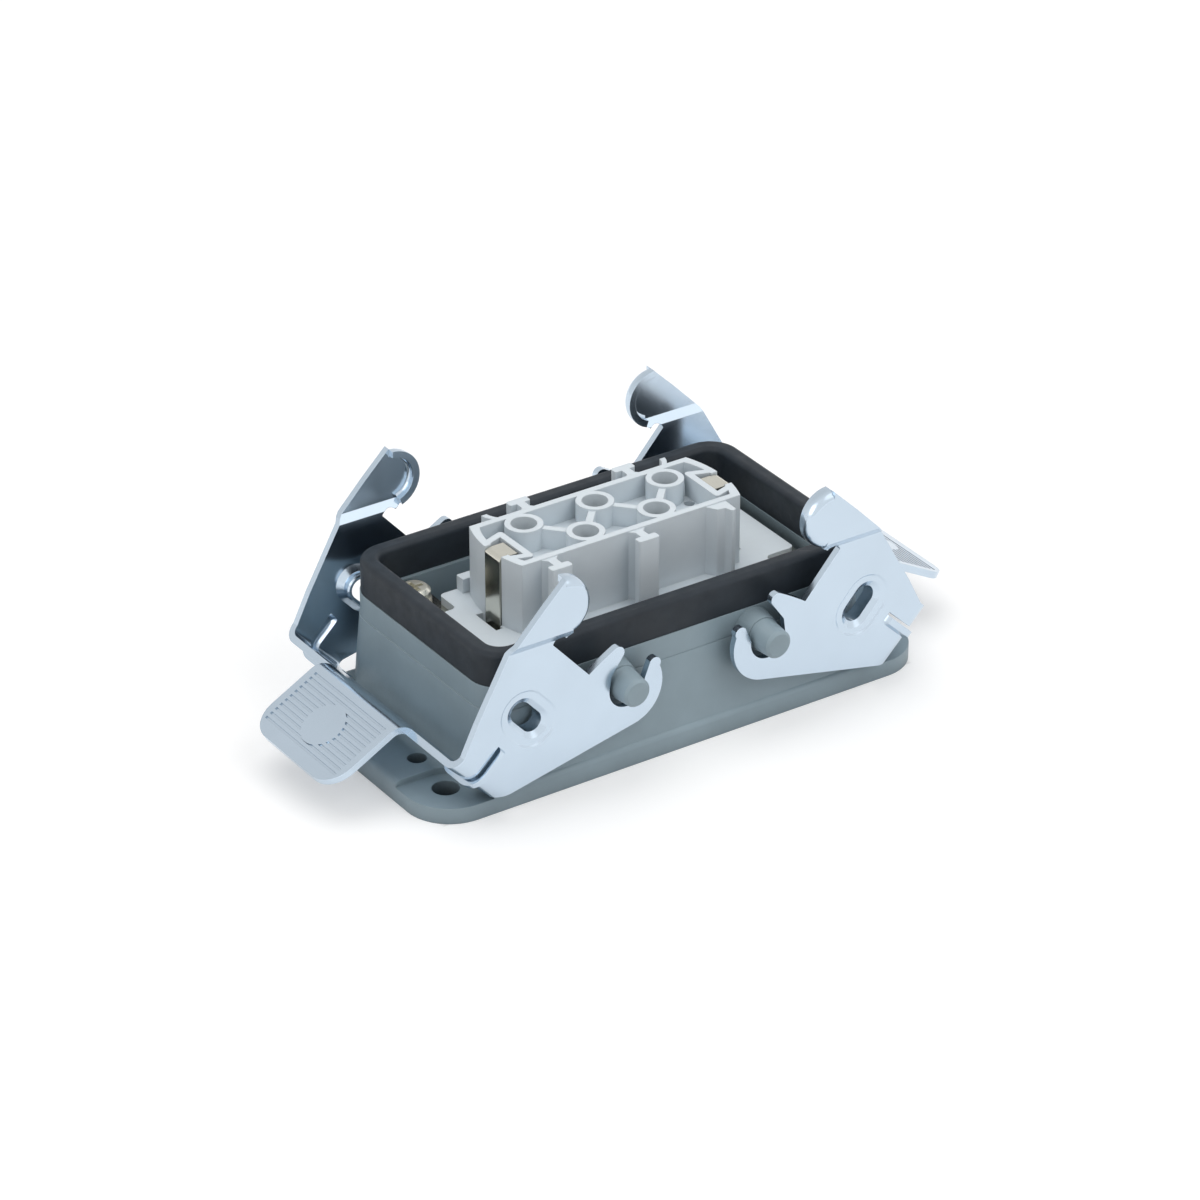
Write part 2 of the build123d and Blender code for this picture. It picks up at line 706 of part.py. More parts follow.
def grip():
    """The fine grooves across the tab, which stop at a plain round disc in its middle."""
    apex, _, up = tab_axes()
    plane = Plane(origin=apex, x_dir=(0, 1, 0), z_dir=up)
    grooves = []
    for i in range(GRIP_COUNT):
        at = GRIP_START + i * GRIP_PITCH
        grooves.append(Pos(0, at, 0) * Box(2 * GRIP_HALF, GRIP_WIDTH, 2 * GRIP_DEPTH))
    disc = Pos(0, DISC_AT, 0) * Cylinder(DISC_R, 4 * GRIP_DEPTH)
    return plane * (Compound(grooves) - disc)


def web_cuts():
    """The room for the fold, with its relief notches, and the web's cut-away lower middle."""
    start, down, inward = lever_axes()
    room = Rectangle(2 * TAB_HALF + 2 * TAB_RELIEF, 4 * SHEET)
    room = extrude(web_plane(-TAB_FOLD_R) * room, TAB_FOLD_R + fold_tangent())
    middle = start + down * (WEB_CUT_T + REACH / 8)
    plane = Plane(origin=middle, x_dir=(0, 1, 0), z_dir=inward)
    window = RectangleRounded(2 * WEB_CUT_HALF, REACH / 4, WEB_CUT_R)
    return room + extrude(plane * window, 3 * SHEET, both=True)


def lever():
    """One lever about its own pivot, handle towards -X."""
    blank = extrude(Plane.XZ * arm_outline(), 2 * ARM_OUTER_Y, both=True)
    below = Pos(0, 0, CREASE_Z - REACH / 2) * Box(REACH, REACH, REACH)
    half = arm_sheet() + mirror(arm_sheet(), about=Plane.XZ)
    body = (channel() & below) + half
    body = body & blank
    for piece in (finger_rim(), louvre(0)):
        body += piece + mirror(piece, about=Plane.XZ)
    cut = lip_cut()
    body -= cut
    body -= mirror(cut, about=Plane.XZ)
    boss = eye_boss()
    hole = eye_cut()
    body += boss + mirror(boss, about=Plane.XZ)
    body -= hole
    body -= mirror(hole, about=Plane.XZ)
    body -= web_cuts()
    return body + tab()


def block_face(grow):
    """The mating block in plan: straight sides and gently bowed ends."""
    y = BLOCK_HALF_Y + grow
    left = BLOCK_LEFT + BLOCK_BOW - grow
    right = BLOCK_RIGHT - BLOCK_BOW + grow
    edges = [
        Line((left, -y), (right, -y)),
        ThreePointArc((right, -y), (BLOCK_RIGHT + grow, 0), (right, y)),
        Line((right, y), (left, y)),
        ThreePointArc((left, y), (BLOCK_LEFT - grow, 0), (left, -y)),
    ]
    return make_face(edges)


def tube_places():
    """The five sockets: three in the far row and two between them in the near row."""
    far = [(i * CONTACT_PITCH, CONTACT_ROW_Y) for i in (-1, 0, 1)]
    near = [(i * CONTACT_PITCH / 2, -CONTACT_ROW_Y) for i in (-1, 1)]
    return [far[0], near[0], far[1], near[1], far[2]]


def bar(start, end, thick, low, high):
    """A straight rib between two plan points."""
    a = Vector(*start)
    b = Vector(*end)
    run = b - a
    middle = (a + b) / 2
    angle = run.get_signed_angle(Vector(1, 0), Vector(0, 0, -1))
    box = Box(run.length, thick, high - low)
    return Pos(middle.X, middle.Y, (low + high) / 2) * Rot(0, 0, angle) * box


def tee_key(x, side):
    """A T-shaped guide key up the block's side, its stem spread where it meets the wall."""
    height = BLOCK_TOP_Z - KEY_DROP - EARTH_TOP_Z
    wall = BLOCK_HALF_Y - BLOCK_WALL / 2
    reach = BLOCK_HALF_Y + KEY_REACH
    half = KEY_STEM / 2
    spread = BLOCK_HALF_Y + KEY_ROOT
    stem = make_face(
        Polyline(
            (half + KEY_ROOT, wall),
            (half + KEY_ROOT, BLOCK_HALF_Y),
            (half, spread),
            (half, reach - KEY_HEAD_THICK / 2),
            (-half, reach - KEY_HEAD_THICK / 2),
            (-half, spread),
            (-half - KEY_ROOT, BLOCK_HALF_Y),
            (-half - KEY_ROOT, wall),
            close=True,
        )
    )
    head = Pos(0, reach - KEY_HEAD_THICK / 2) * RectangleRounded(
        KEY_HEAD, KEY_HEAD_THICK, KEY_HEAD_THICK / 4
    )
    key = extrude(stem + head, height)
    turn = 0 if side > 0 else 180
    return Pos(x, 0, EARTH_TOP_Z) * Rot(0, 0, turn) * key


def horn(x):
    """A thin curved rib that leans outwards beside one of the block's far corners."""
    side = 1 if x > 0 else -1
    wall = BLOCK_HALF_Y - BLOCK_WALL / 2
    tip = BLOCK_HALF_Y + HORN_REACH
    root = x - side * HORN_REACH
    thick = side * HORN_THICK
    mid_x = (root + x) / 2 + side * HORN_SAG
    mid_y = (wall + tip) / 2 - HORN_SAG
    edges = [
        ThreePointArc((root, wall), (mid_x, mid_y), (x, tip)),
        Line((x, tip), (x + thick, tip)),
        ThreePointArc((x + thick, tip), (mid_x + thick, mid_y), (root + thick, wall)),
        Line((root + thick, wall), (root, wall)),
    ]
    return Pos(0, 0, PLATE_Z) * extrude(make_face(edges), BLOCK_TOP_Z - KEY_DROP - PLATE_Z)


def stub():
    """The blunt rib with a small horn beside the block's near right corner."""
    face = make_face(Polyline([(x, -y) for x, y in STUB], close=True))
    face = fillet(face.vertices().sort_by(Axis.Y)[:4], STUB_R)
    return Pos(0, 0, EARTH_TOP_Z) * extrude(face, BLOCK_TOP_Z - KEY_DROP - EARTH_TOP_Z)


def plateau():
    """The raised plate round the block, notched at two opposite corners for the screws."""
    length = PLATE_RIGHT - PLATE_LEFT
    middle = (PLATE_RIGHT + PLATE_LEFT) / 2
    plate = Pos(middle, 0, PLATE_Z - PLATE_THICK / 2) * Box(length, 2 * PLATE_HALF_Y, PLATE_THICK)
    far_x, far_y = PLATE_FAR_NOTCH
    near_x, near_y = PLATE_NEAR_NOTCH
    plate -= Pos(PLATE_LEFT, PLATE_HALF_Y, 0) * Box(2 * far_x, 2 * far_y, REACH)
    plate -= Pos(PLATE_RIGHT, -PLATE_HALF_Y, 0) * Box(2 * near_x, 2 * near_y, REACH)
    return fillet(plate.edges().filter_by(Axis.Z), PLATE_R)


def blade_face_x(end):
    """Where an earth blade's outer face stands at that end: flush with the bowed end wall."""
    return BLOCK_LEFT if end < 0 else BLOCK_RIGHT


def pocket_walls(end):
    """The folded wall round a blade's top: in from the end wall, across, and back out."""
    outer = blade_face_x(end)
    points = [(outer - end * inward, BLADE_Y + along) for inward, along in POCKET_POINTS]
    walls = [
        bar(start, stop, BLOCK_WALL, FLOOR_Z, BLOCK_TOP_Z) for start, stop in zip(points, points[1:])
    ]
    for x, y in points[1:-1]:
        joint = Cylinder(BLOCK_WALL / 2, BLOCK_TOP_Z - FLOOR_Z)
        walls.append(Pos(x, y, (FLOOR_Z + BLOCK_TOP_Z) / 2) * joint)
    return walls


def blade_slot(end):
    """The slot for an earth blade, open to the block's end, and for its tongue under the plateau."""
    face = blade_face_x(end)
    width = BLADE_WIDTH + 2 * BLADE_GAP
    inside = face - end * (BLADE_THICK + BLADE_GAP)
    outside = face + end * BLADE_MOUTH
    length = abs(outside - inside)
    low = LUG_TOP_Z - BLADE_GAP
    stand = (Align.CENTER, Align.CENTER, Align.MIN)
    slot = Box(length, width, REACH, align=stand)
    gate_in = face - end * (BLOCK_WALL + BLOCK_BOW / 4)
    gate = Box(abs(outside - gate_in), width, REACH, align=stand)
    gate_place = Pos((outside + gate_in) / 2, BLADE_Y, FLOOR_Z)
    tongue_end = end * (BODY_HALF_X + 1)
    tongue = Box(abs(tongue_end - inside), width, EARTH_TOP_Z - low)
    tongue_place = Pos((tongue_end + inside) / 2, BLADE_Y, (EARTH_TOP_Z + low) / 2)
    slot = Pos((inside + outside) / 2, BLADE_Y, low) * slot
    foot = Box(abs(outside - face), width + 2 * FOOT_SLOT, PLATE_THICK)
    foot_place = Pos((outside + face) / 2, BLADE_Y, PLATE_Z - PLATE_THICK / 2)
    return slot + gate_place * gate + tongue_place * tongue + foot_place * foot


def contact_seat():
    """The room for a contact's collar and terminal block in the front half, from the split up."""
    base = (Align.CENTER, Align.CENTER, Align.MIN)
    top = TERMINAL_TOP_Z + COLLAR_HEIGHT + SEAT_CLEAR
    side = TERMINAL_SIDE + 2 * SEAT_CLEAR
    collar = Cylinder(COLLAR_R + SEAT_CLEAR, top - SPLIT_Z, align=base)
    return collar + Box(side, side, TERMINAL_TOP_Z + SEAT_CLEAR - SPLIT_Z, align=base)


def insert_body():
    """The moulded front half: ribbed mating block, raised plateau and the box below it."""
    block = Pos(0, 0, EARTH_TOP_Z) * extrude(block_face(0), BLOCK_TOP_Z - EARTH_TOP_Z)
    block -= Pos(0, 0, FLOOR_Z) * extrude(block_face(-BLOCK_WALL), REACH)
    lower = plan(2 * BODY_HALF_X, 2 * BODY_HALF_Y, BODY_R, SPLIT_Z, EARTH_TOP_Z - SPLIT_Z)
    body = block + plateau() + lower
    for x in FAR_KEYS:
        body += tee_key(x, 1)
    for x in NEAR_KEYS:
        body += tee_key(x, -1)
    for x in (-HORN_X, HORN_X):
        body += horn(x)
    body += stub()
    places = tube_places()
    stand = (Align.CENTER, Align.CENTER, Align.MIN)
    for x, y in places:
        body += Pos(x, y, FLOOR_Z) * Cylinder(TUBE_R, BLOCK_TOP_Z - FLOOR_Z, align=stand)
    for start, end in zip(places, places[1:]):
        body += bar(start, end, RIB_THICK, FLOOR_Z, BLOCK_TOP_Z - RIB_DROP)
    inside = Pos(0, 0, FLOOR_Z) * extrude(block_face(0), BLOCK_TOP_Z - FLOOR_Z)
    for end in (-1, 1):
        for wall in pocket_walls(end):
            body += wall & inside
    nub = Box(NUB_LENGTH, NUB_WIDTH, NUB_HEIGHT)
    body += Pos(NUB_X, PLATE_HALF_Y - NUB_WIDTH / 2, PLATE_Z + NUB_HEIGHT / 2) * nub
    for x, y in places:
        body -= Pos(x, y, 0) * Cylinder(TUBE_BORE_R, REACH)
        body -= Pos(x, y, SPLIT_Z) * contact_seat()
    for x, y in (PILOT_FAR, PILOT_NEAR):
        body -= Pos(x, y, FLOOR_Z) * Cylinder(PILOT_R, 2 * PILOT_DEPTH)
    for end in (-1, 1):
        body -= blade_slot(end)
        body -= earth_screw_hole(end, THREAD_R)
        body -= snap_room(end, SEAT_CLEAR)
    return body


def snap_room(end, clear):
    """One snap tongue that rises from the rear half into the front half's end."""
    width = SNAP_WIDTH + 2 * clear
    thick = SNAP_THICK + 2 * clear
    height = SNAP_HEIGHT + clear
    x = end * (BODY_HALF_X - SNAP_IN - SNAP_THICK / 2)
    base = (Align.CENTER, Align.CENTER, Align.MIN)
    tongue = Box(thick, width, height, align=base)
    barb = Cylinder(SNAP_BARB_R + clear, width, rotation=(90, 0, 0))
    barb_place = Pos(x + end * SNAP_THICK / 2, SNAP_Y, SPLIT_Z + SNAP_HEIGHT - 2 * SNAP_BARB_R)
    return Pos(x, SNAP_Y, SPLIT_Z) * tongue + barb_place * barb


def insert_base():
    """The rear half: wire entries below, terminal pockets and screw windows."""
    stand = (Align.CENTER, Align.CENTER, Align.MIN)
    body = plan(2 * BODY_HALF_X, 2 * BODY_HALF_Y, BODY_R, REAR_Z, SPLIT_Z - REAR_Z)
    side = TERMINAL_SIDE + 2 * SEAT_CLEAR
    for x, y in tube_places():
        room = Box(side, side, REACH, align=stand)
        body -= Pos(x, y, TERMINAL_LOW_Z - SEAT_CLEAR) * room
        body -= Pos(x, y, 0) * Cylinder(ENTRY_R, REACH)
        window = Cylinder(WINDOW_R, REACH / 4, rotation=(90, 0, 0), align=stand)
        turn = Rot(0, 0, 180) if y > 0 else Rot(0, 0, 0)
        body -= Pos(x, y, TERMINAL_SCREW_Z) * turn * window
    for end in (-1, 1):
        body += snap_room(end, 0)
    return body


def contact(x, y):
    """One turned female contact with its square terminal block."""
    stand = (Align.CENTER, Align.CENTER, Align.MIN)
    top = FLOOR_Z + FLOOR_DEPTH - CONTACT_TOP_GAP
    barrel = Cylinder(CONTACT_R, top - TERMINAL_TOP_Z, align=stand)
    barrel = chamfer(barrel.faces().sort_by(Axis.Z)[-1].edges(), CONTACT_CHAMFER)
    piece = Pos(0, 0, TERMINAL_TOP_Z) * barrel
    piece += Pos(0, 0, TERMINAL_TOP_Z) * Cylinder(COLLAR_R, COLLAR_HEIGHT, align=stand)
    height = TERMINAL_TOP_Z - TERMINAL_LOW_Z
    piece += Pos(0, 0, TERMINAL_LOW_Z) * Box(TERMINAL_SIDE, TERMINAL_SIDE, height, align=stand)
    bore_low = top - CONTACT_BORE_DEPTH
    piece -= Pos(0, 0, bore_low) * Cylinder(CONTACT_BORE_R, REACH, align=stand)
    slot = Box(2 * CONTACT_R + 1, CONTACT_SLOT, REACH, align=stand)
    piece -= Pos(0, 0, top - CONTACT_SLOT_DEPTH) * slot
    piece -= Pos(0, 0, top - CONTACT_SLOT_DEPTH) * Rot(0, 0, 90) * slot
    room = Box(WIRE_ROOM_X, WIRE_ROOM_Y, WIRE_ROOM_TOP - TERMINAL_LOW_Z + 1, align=stand)
    piece -= Pos(0, 0, TERMINAL_LOW_Z - 1) * room
    hole = Cylinder(SCREW_R + SCREW_CLEAR, TERMINAL_SIDE, rotation=(90, 0, 0), align=stand)
    piece -= Pos(0, 0, TERMINAL_SCREW_Z) * hole
    turn = Rot(0, 0, 180) if y > 0 else Rot(0, 0, 0)
    return Pos(x, y, 0) * turn * piece


def round_screw(shank_r, shank, head_r, head):
    """A cross-head screw pointing down, its head's seat at the origin."""
    down = (Align.CENTER, Align.CENTER, Align.MAX)
    up = (Align.CENTER, Align.CENTER, Align.MIN)
    top = Cylinder(head_r, head, align=up)
    top = chamfer(top.faces().sort_by(Axis.Z)[-1].edges(), head * HEAD_BEVEL)
    screw = top + Cylinder(shank_r, shank, align=down)
    cross = Box(CROSS_LENGTH * head_r, CROSS_WIDTH, CROSS_DEPTH, align=down)
    screw -= Pos(0, 0, head) * cross
    screw -= Pos(0, 0, head) * Rot(0, 0, 90) * cross
    return screw


def terminal_place(x, y):
    """Where a terminal screw's head seats, its axis along Y and its tip inwards."""
    side = 1 if y > 0 else -1
    place = Pos(x, y + side * TERMINAL_SIDE / 2, TERMINAL_SCREW_Z)
    return place * Rot(-90 * side, 0, 0)


def terminal_screws():
    shank = (TERMINAL_SIDE - WIRE_ROOM_Y) / 2 + SCREW_REACH
    screw = round_screw(SCREW_R, shank, SCREW_HEAD_R, SCREW_HEAD)
    return Compound([terminal_place(x, y) * screw for x, y in tube_places()])


def wire_clamps():
    depth = (TERMINAL_SIDE - WIRE_ROOM_Y) / 2 + SCREW_REACH + CLAMP_THICK / 2
    plate = Pos(0, 0, -depth) * Box(CLAMP_WIDTH, CLAMP_LENGTH, CLAMP_THICK)
    return Compound([terminal_place(x, y) * plate for x, y in tube_places()])


def earth_screw_place(end):
    """Where an earth screw seats: on its clamp, outside the earth contact's tail."""
    x = end * (BODY_HALF_X + SEAT_CLEAR + EARTH_THICK + CLAMP_THICK)
    return Pos(x, TAIL_Y, EARTH_SCREW_Z) * Rot(0, 90 * end, 0)


def earth_screw_hole(end, radius):
    hole = Cylinder(
        radius + THREAD_CLEAR, 2 * EARTH_SCREW_LENGTH, align=(Align.CENTER, Align.CENTER, Align.CENTER)
    )
    return earth_screw_place(end) * hole


def earth_contact(end):
    """A folded earth piece: cross plate with two ears, blade up the block's end, tail for the wire."""
    face = blade_face_x(end)
    inside = face - end * BLADE_THICK
    base = (Align.CENTER, Align.CENTER, Align.MIN)
    cross = Box(EARTH_OUT_X - EARTH_IN_X, 2 * EARTH_HALF_Y, EARTH_THICK, align=base)
    cross = fillet(cross.edges().filter_by(Axis.Z), EARTH_R)
    piece = Pos(end * (EARTH_OUT_X + EARTH_IN_X) / 2, 0, LUG_TOP_Z) * cross
    tongue = Box(abs(end * EARTH_IN_X - inside) + EARTH_R, BLADE_WIDTH, EARTH_THICK, align=base)
    tongue_x = (inside + end * (EARTH_IN_X + EARTH_R)) / 2
    piece += Pos(tongue_x, BLADE_Y, LUG_TOP_Z) * tongue
    top = BLOCK_TOP_Z - BLADE_DROP
    blade = Box(BLADE_THICK, BLADE_WIDTH, top - LUG_TOP_Z, align=base)
    piece += Pos((face + inside) / 2, BLADE_Y, LUG_TOP_Z) * blade
    fold = Box(BLADE_FOLD, BLADE_WIDTH, BLADE_THICK)
    piece += Pos(face - end * BLADE_FOLD / 2, BLADE_Y, top - BLADE_THICK / 2) * fold
    edges = piece.edges().filter_by(Axis.Y).filter_by_position(Axis.X, face - SKIN, face + SKIN)
    piece = fillet(edges.sort_by(Axis.Z)[-1], BLADE_THICK)
    tail = Box(EARTH_THICK, TAIL_WIDTH, LUG_TOP_Z - TAIL_LOW_Z + EARTH_THICK, align=base)
    tail_x = end * (BODY_HALF_X + SEAT_CLEAR + EARTH_THICK / 2)
    piece += Pos(tail_x, TAIL_Y, TAIL_LOW_Z) * tail
    for side in (-1, 1):
        hole = Cylinder(THREAD_R + THREAD_CLEAR, REACH)
        piece -= Pos(end * FIX_X / 2, side * FIX_Y / 2, 0) * hole
    return piece - earth_screw_hole(end, THREAD_R)


def earth_screws():
    screw = round_screw(THREAD_R, EARTH_SCREW_LENGTH, SCREW_HEAD_R, SCREW_HEAD)
    return Compound([earth_screw_place(end) * screw for end in (-1, 1)])


def earth_clamps():
    base = (Align.CENTER, Align.CENTER, Align.MAX)
    plate = Box(TAIL_WIDTH, TAIL_WIDTH, CLAMP_THICK, align=base)
    plate -= Cylinder(THREAD_R + THREAD_CLEAR, REACH)
    return Compound([earth_screw_place(end) * plate for end in (-1, 1)])


def fixing_screws():
    screw = round_screw(THREAD_R, FIX_LENGTH, FIX_HEAD_R, FIX_HEAD)
    seat = EARTH_TOP_Z + WASHER_THICK
    return Compound([Pos(x, y, seat) * screw for x, y in corners(FIX_X / 2, FIX_Y / 2)])


def lock_washers():
    """Split spring washers under the fixing screws."""
    ring = Cylinder(WASHER_R, WASHER_THICK, align=(Align.CENTER, Align.CENTER, Align.MIN))
    ring -= Cylinder(THREAD_R + THREAD_CLEAR, REACH)
    ring -= Pos(WASHER_R / 2, 0, 0) * Box(WASHER_R, WASHER_SPLIT, REACH)
    return Compound([Pos(x, y, EARTH_TOP_Z) * ring for x, y in corners(FIX_X / 2, FIX_Y / 2)])


def main():
    os.makedirs("parts", exist_ok=True)
    parts = {}
    parts["housing"] = housing()
    parts["rim_seal"] = rim_seal()
    parts["base_seal"] = base_seal_ring(SEAL_GROOVE_CLEAR)
    parts["insert_body"] = insert_body()
    parts["insert_base"] = insert_base()
    for number, (x, y) in enumerate(tube_places(), start=1):
        parts[f"contact_{number}"] = contact(x, y)
    parts["terminal_screws"] = terminal_screws()
    parts["wire_clamps"] = wire_clamps()
    parts["earth_contact_left"] = earth_contact(-1)
    parts["earth_contact_right"] = earth_contact(1)
    parts["earth_screws"] = earth_screws()
    parts["earth_clamps"] = earth_clamps()
    parts["fixing_screws"] = fixing_screws()
    parts["lock_washers"] = lock_washers()
    left = Pos(-PEG_X, 0, PEG_Z) * lever()
    parts["lever_left"] = left
    parts["lever_right"] = mirror(left, about=Plane.YZ)
    for name, part in parts.items():
        part.label = name
        export_step(part, f"parts/{name}.step")
        print(name, len(part.solids()), round(part.volume, 1), part.is_valid)


main()
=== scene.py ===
"""Looks of a heavy duty rectangular connector: a die-cast bulkhead housing with two pressed
locking levers, a rubber rim seal and a grey moulded insert, on a white studio floor."""

from math import cos, pi, radians, sin

import bpy
from mathutils import Matrix, Vector


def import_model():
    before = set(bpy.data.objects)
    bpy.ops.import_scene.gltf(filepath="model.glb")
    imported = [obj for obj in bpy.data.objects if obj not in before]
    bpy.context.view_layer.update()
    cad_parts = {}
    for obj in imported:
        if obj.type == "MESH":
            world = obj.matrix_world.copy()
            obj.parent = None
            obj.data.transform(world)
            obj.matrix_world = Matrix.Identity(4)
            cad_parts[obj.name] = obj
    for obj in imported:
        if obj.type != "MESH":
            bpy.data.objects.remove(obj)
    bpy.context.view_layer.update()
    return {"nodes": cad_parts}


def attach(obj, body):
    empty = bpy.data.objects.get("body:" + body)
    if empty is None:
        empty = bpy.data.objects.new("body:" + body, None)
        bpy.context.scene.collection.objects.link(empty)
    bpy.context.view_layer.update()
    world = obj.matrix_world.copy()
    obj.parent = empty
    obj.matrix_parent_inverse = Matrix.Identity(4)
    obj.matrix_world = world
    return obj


MM = 0.001
WHITE = (1, 1, 1, 1)

# Camera, in the frame of the housing
PHOTO_SIDE_PX = 1200
FOCAL_PX = 5393.05
SENSOR_MM = 36.0
CAM_AZIMUTH = radians(33.759)
CAM_ELEVATION = radians(29.669)
CAM_ROLL = radians(-0.066)
CAM_DISTANCE = 882.152 * MM
CAM_SHIFT_RIGHT = 1.316 * MM
CAM_SHIFT_UP = -13.993 * MM
CAM_CLIP = (0.01, 20)

# Floor: sizes in metres, and a glow that grows with the distance from the object
FLOOR_HALF = 3.0
FLOOR_GREY = (0.7, 0.7, 0.7)
FLOOR_ROUGHNESS = 0.9
FLOOR_GLOW = (0.36, 0.72)
FLOOR_GLOW_REACH = (0.3, 1.2)

# Painted shadow: a near-black patch of floor, without glow, that the flange hides: half sizes, and a
# border as shares of them
SHADOW_PATCH_DARK = (0.03, 0.035, 0.04)
SHADOW_PATCH_HALF = (0.046, 0.022)
SHADOW_PATCH_BORDER = (0.9, 1)

# World: its even light, and the sky that mirrors see; a border is in cosines from its direction
WORLD_DIFFUSE = 0.43
SKY_NEAR_TO_FAR = (1.0, 0.8)
SKY_FAR_WAY = (0.0, 0.68, 0.73)
SKY_FAR_BORDER = (0.3, 0.95)
WINDOW_WAYS = ((0.36, -0.6, 0.71), (-0.78, -0.33, 0.53))
WINDOW_BORDER = (0.9, 0.95)
WINDOW_GAIN = 0.42

# Colours, linear
CAST_GREY = (0.28, 0.362, 0.408)
# CAST_EDGE, RUBBER_EDGE and PLASTIC_EDGE are paler colours painted on edges as highlights
CAST_EDGE = (0.38, 0.46, 0.505)
RUBBER = (0.0195, 0.026, 0.034)
RUBBER_EDGE = (0.04, 0.047, 0.055)
INSERT_GREY = (0.66, 0.725, 0.77)
BASE_GREY = (0.52, 0.57, 0.61)
PLASTIC_EDGE = (0.76, 0.81, 0.85)
ZINC = (0.575, 0.675, 0.775)
SILVER = (0.80, 0.79, 0.76)
NICKEL = (0.62, 0.60, 0.54)
BLADE = (0.66, 0.65, 0.58)
SCREW = (0.95, 0.93, 0.82)
WASHER = (0.56, 0.54, 0.50)

# Radius of rounded edges, and the share of the paler edge colour painted on them as a highlight
PAINT_EDGE_R = 0.18 * MM
PAINT_HIGHLIGHT_SHARE = (0.05, 0.45)
RUBBER_EDGE_R = 0.3 * MM
RUBBER_HIGHLIGHT_SHARE = (0.2, 0.7)
PLASTIC_EDGE_R = 0.18 * MM
PLASTIC_HIGHLIGHT_SHARE = 0.6

# Roughness of a finish from its glossiest patches to its dullest; of plating, as shares
PAINT_ROUGHNESS = (0.34, 0.48)
RUBBER_ROUGHNESS = (0.46, 0.62)
PLASTIC_ROUGHNESS = (0.36, 0.5)
PLATED_SPREAD = (0.88, 1.14)

# Light that goes a little way into the moulded plastic, for red, green and blue
PLASTIC_GLOW = 0.05
PLASTIC_GLOW_REACH = (0.8 * MM, 0.8 * MM, 0.7 * MM)

# Rolled sheet's lines are stretched along X
ROLLING = (0.06, 1, 1)

# What noise, edges and hollows run between before they are mapped to a look; edges give the painted
# highlight, hollows the painted shade
NOISE_RANGE = (0.3, 0.7)
HIGHLIGHT_PATCH_RANGE = (0.35, 0.65)
PIT_RANGE = (0.2, 0.3)
EDGE_RANGE = (0.995, 0.85)
HOLLOW_RANGE = (0.15, 0.68)
BEVEL_SAMPLES = 6
HOLLOW_SAMPLES = 8

# The Mix node's data type for each kind of socket
MIX_TYPES = {"RGBA": "RGBA", "VALUE": "FLOAT"}

# Floor of the block's pockets, in the frame of the housing, with its plan in millimetres
POCKET_FLOOR_Z = 28.9 * MM
POCKET_FLOOR_THICK = 1.35 * MM
POCKET_OUTLINE = (
    (-20.9, -7.15), (19.9, -7.15), (20.9, -4.3), (17.6, -5.4), (17.7, 2.9), (21.3, 1.7),
    (19.9, 7.15), (-20.9, 7.15), (-22.3, 1.7), (-18.7, 2.9), (-18.6, -5.4), (-21.9, -4.3),
)
TUBE_CENTRES = ((-13.65, 3.8), (0, 3.8), (13.65, 3.8), (-6.825, -3.8), (6.825, -3.8))
TUBE_R = 2.65
PILOT_CENTRES = ((16.1, 0.3), (3.9, 3.6), (12.5, -5.4))
PILOT_R = 0.88
CIRCLE_SIDES = 40


def feed(tree, socket, value):
    """Link an input to an output, or set it to a plain number, colour or direction."""
    if isinstance(value, bpy.types.NodeSocket):
        tree.links.new(value, socket)
    else:
        socket.default_value = (*value, 1) if socket.type == "RGBA" else value


def maths(tree, operation, *values):
    """The result of a Math node; each value is a socket or a plain number."""
    node = tree.nodes.new("ShaderNodeMath")
    node.operation = operation
    for socket, value in zip(node.inputs, values):
        feed(tree, socket, value)
    return node.outputs["Value"]


def dot(tree, first, second):
    """How far one direction points along the other; the second may be plain numbers."""
    node = tree.nodes.new("ShaderNodeVectorMath")
    node.operation = "DOT_PRODUCT"
    feed(tree, node.inputs[0], first)
    feed(tree, node.inputs[1], second)
    return node.outputs["Value"]


def span(tree, value, within, to):
    """The value mapped from one range to another, clamped."""
    node = tree.nodes.new("ShaderNodeMapRange")
    for name, number in zip(("From Min", "From Max", "To Min", "To Max"), (*within, *to)):
        node.inputs[name].default_value = number
    tree.links.new(value, node.inputs["Value"])
    return node.outputs["Result"]


def mix(tree, share, first, second, kind="RGBA"):
    """Two colours, or two numbers of kind VALUE, mixed by the share; each is a socket or plain."""
    node = tree.nodes.new("ShaderNodeMix")
    node.data_type = MIX_TYPES[kind]
    tree.links.new(share, node.inputs["Factor"])
    for name, value in (("A", first), ("B", second)):
        socket = next(s for s in node.inputs if s.name == name and s.type == kind)
        feed(tree, socket, value)
    return next(s for s in node.outputs if s.type == kind)


def stretched(tree, place, scale):
    """Coordinates scaled along the three axes."""
    node = tree.nodes.new("ShaderNodeMapping")
    node.inputs["Scale"].default_value = scale
    tree.links.new(place, node.inputs["Vector"])
    return node.outputs["Vector"]


def noise(tree, place, per_metre, detail=4.0, rough=0.55):
    """Cloudy noise with that many features per metre."""
    node = tree.nodes.new("ShaderNodeTexNoise")
    node.inputs["Scale"].default_value = per_metre
    node.inputs["Detail"].default_value = detail
    node.inputs["Roughness"].default_value = rough
    tree.links.new(place, node.inputs["Vector"])
    return node.outputs["Fac"]


def drifting(tree, colour, value, share):
    """A colour that drifts by that share each way with the value."""
    node = tree.nodes.new("ShaderNodeValToRGB")
    for stop, position, gain in zip(node.color_ramp.elements, NOISE_RANGE, (1 - share, 1 + share)):
        stop.position = position
        stop.color = (*(min(1, c * gain) for c in colour), 1)
    tree.links.new(value, node.inputs["Fac"])
    return node.outputs["Color"]


def rounded(tree, radius):
    """The surface normal as it looks when every edge has this radius."""
    node = tree.nodes.new("ShaderNodeBevel")
    node.inputs["Radius"].default_value = radius
    node.samples = BEVEL_SAMPLES
    return node.outputs["Normal"]


